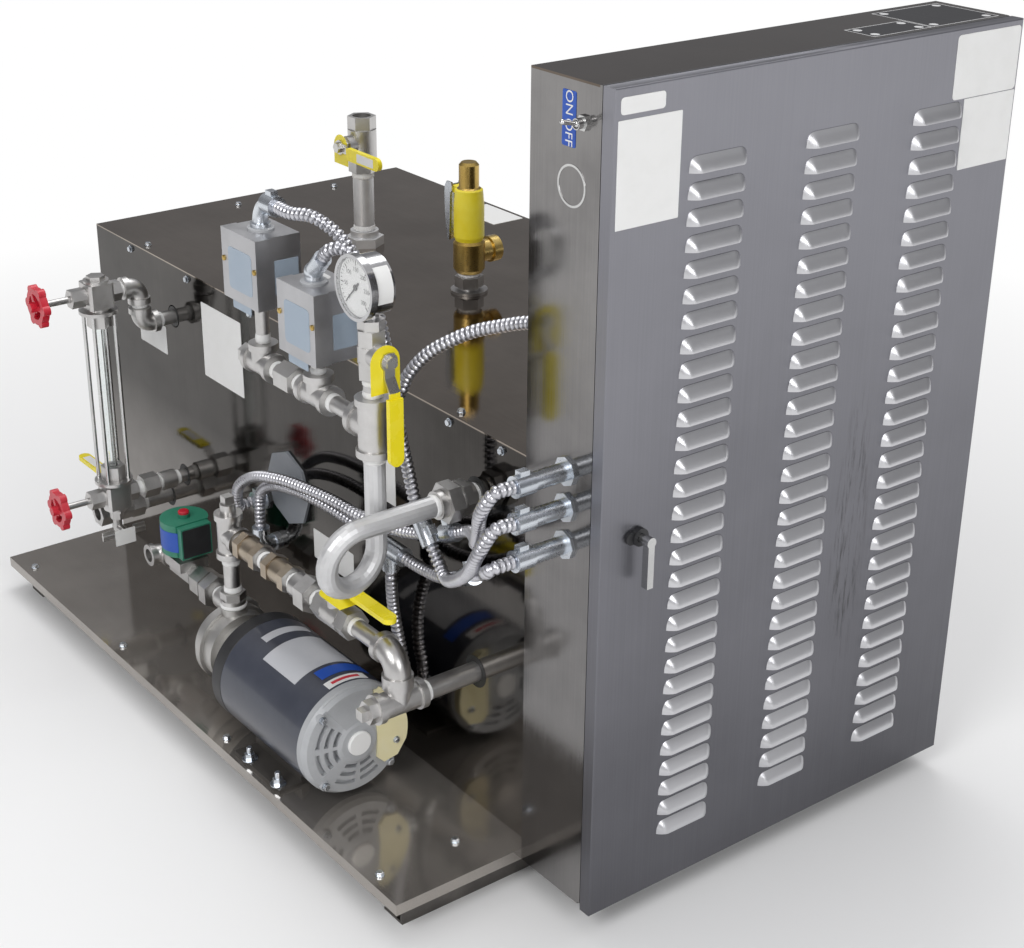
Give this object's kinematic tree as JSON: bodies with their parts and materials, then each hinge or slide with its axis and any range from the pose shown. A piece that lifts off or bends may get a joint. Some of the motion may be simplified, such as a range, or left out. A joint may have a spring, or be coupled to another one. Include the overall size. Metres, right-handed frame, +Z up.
{
  "type": "electric steam generator",
  "caption": "Skid-mounted electric steam generator with a stainless boiler housing, water gauge, feed pump, pressure controls and a louvred electrical cabinet",
  "frame": {"origin": "on the floor, under the middle of the overall box", "axes": "+X along the skid towards the cabinet door, -Y the front with the pump and gauges, +Z up"},
  "size_m": [1.309, 0.86, 1.056],
  "materials": {
    "stainless": "brushed",
    "door_stainless": "vertical brushed",
    "runner_steel": "dark satin",
    "fitting_steel": "dull bare steel",
    "bright_steel": "polished",
    "zinc": "zinc plated",
    "yellow_vinyl": "dipped vinyl",
    "red_plastic": "moulded",
    "brass": "machined",
    "control_grey": "satin enamel",
    "motor_blue": "gloss enamel",
    "bell_grey": "cast, light grey",
    "pump_metal": "cast and machined",
    "coil_green": "moulded",
    "latch_black": "moulded",
    "glass": "clear tube"
  },
  "bodies": {
    "base": {"skid_deck": "stainless", "boiler_jacket": "stainless", "jacket_cover": "stainless", "cabinet_back": "stainless", "cabinet_left_side": "stainless", "cabinet_right_side": "stainless", "cabinet_roof": "stainless", "cabinet_floor": "stainless", "left_runner": "runner_steel", "right_runner": "runner_steel", "upper_gauge_pipe": "fitting_steel", "upper_gauge_valve": "fitting_steel", "lower_gauge_pipe": "fitting_steel", "lower_gauge_valve": "fitting_steel", "gauge_drain_cock": "fitting_steel", "drain_valve": "fitting_steel", "siphon_union": "fitting_steel", "siphon_loop": "fitting_steel", "control_manifold": "fitting_steel", "gauge_valve": "fitting_steel", "steam_pipe": "fitting_steel", "steam_valve": "fitting_steel", "inlet_fittings": "fitting_steel", "delivery_pipe": "fitting_steel", "feed_valve": "fitting_steel", "feed_pipe": "fitting_steel", "cabinet_hinges": "bright_steel", "power_switch": "bright_steel", "gauge_guard_rods": "bright_steel", "pressure_gauge": "bright_steel", "conduit_connectors": "zinc", "conduit_fittings": "zinc", "control_conduits": "zinc", "probe_conduit": "zinc", "feed_conduits": "zinc", "safety_valve_sleeve": "yellow_vinyl", "safety_valve_body": "brass", "solenoid_valve": "brass", "pressure_control_1": "control_grey", "pressure_control_2": "control_grey", "octagon_cover": "control_grey", "motor_cradle": "motor_blue", "motor_shell": "motor_blue", "motor_end_bell": "bell_grey", "motor_terminal_box": "bell_grey", "pump_casing": "pump_metal", "solenoid_coil": "coil_green", "gauge_glass": "glass"},
    "door": {"cabinet_door": "door_stainless", "latch_base": "latch_black"},
    "latch": {"latch_handle": "bright_steel"},
    "toggle": {"switch_lever": "bright_steel"},
    "upper_wheel": {"upper_hand_wheel": "red_plastic"},
    "lower_wheel": {"lower_hand_wheel": "red_plastic"},
    "drain_handle": {"drain_lever": "yellow_vinyl"},
    "gauge_handle": {"gauge_lever": "yellow_vinyl"},
    "steam_handle": {"steam_lever": "yellow_vinyl"},
    "feed_handle": {"feed_lever": "yellow_vinyl"},
    "lift_lever": {"safety_lever": "control_grey"}
  },
  "joints": [
    {"name": "door_hinge", "type": "hinge", "parent": "base", "child": "door", "pos_m": [0.61, 0.425, 0.548], "axis": [0, 0, 1], "range_deg": [0, 110]},
    {"name": "latch_turn", "type": "hinge", "parent": "door", "child": "latch", "pos_m": [0.6305, -0.162, 0.542], "axis": [1, 0, 0], "range_deg": [0, 90]},
    {"name": "switch_toggle", "type": "hinge", "parent": "base", "child": "toggle", "pos_m": [0.5845, -0.227, 1.013], "axis": [1, 0, 0], "range_deg": [0, 28]},
    {"name": "upper_wheel_turn", "type": "hinge", "parent": "base", "child": "upper_wheel", "pos_m": [-0.4045, -0.368, 0.572], "axis": [0, 1, 0], "range_deg": [0, 720]},
    {"name": "lower_wheel_turn", "type": "hinge", "parent": "base", "child": "lower_wheel", "pos_m": [-0.4045, -0.368, 0.244], "axis": [0, 1, 0], "range_deg": [0, 720]},
    {"name": "drain_lever_turn", "type": "hinge", "parent": "base", "child": "drain_handle", "pos_m": [-0.4645, -0.292, 0.221], "axis": [0, 0, 1], "range_deg": [0, 90]},
    {"name": "gauge_lever_turn", "type": "hinge", "parent": "base", "child": "gauge_handle", "pos_m": [0.3495, -0.331, 0.714], "axis": [-1, 0, 0], "range_deg": [0, 90]},
    {"name": "steam_lever_turn", "type": "hinge", "parent": "base", "child": "steam_handle", "pos_m": [-0.3115, 0.089, 0.756], "axis": [0, -1, 0], "range_deg": [0, 90]},
    {"name": "feed_lever_turn", "type": "hinge", "parent": "base", "child": "feed_handle", "pos_m": [0.2425, -0.322, 0.353], "axis": [0, 0, -1], "range_deg": [0, 90]},
    {"name": "lift_lever_turn", "type": "hinge", "parent": "base", "child": "lift_lever", "pos_m": [-0.0635, 0.089, 0.744], "axis": [0, 1, 0], "range_deg": [0, 35]}
  ]
}
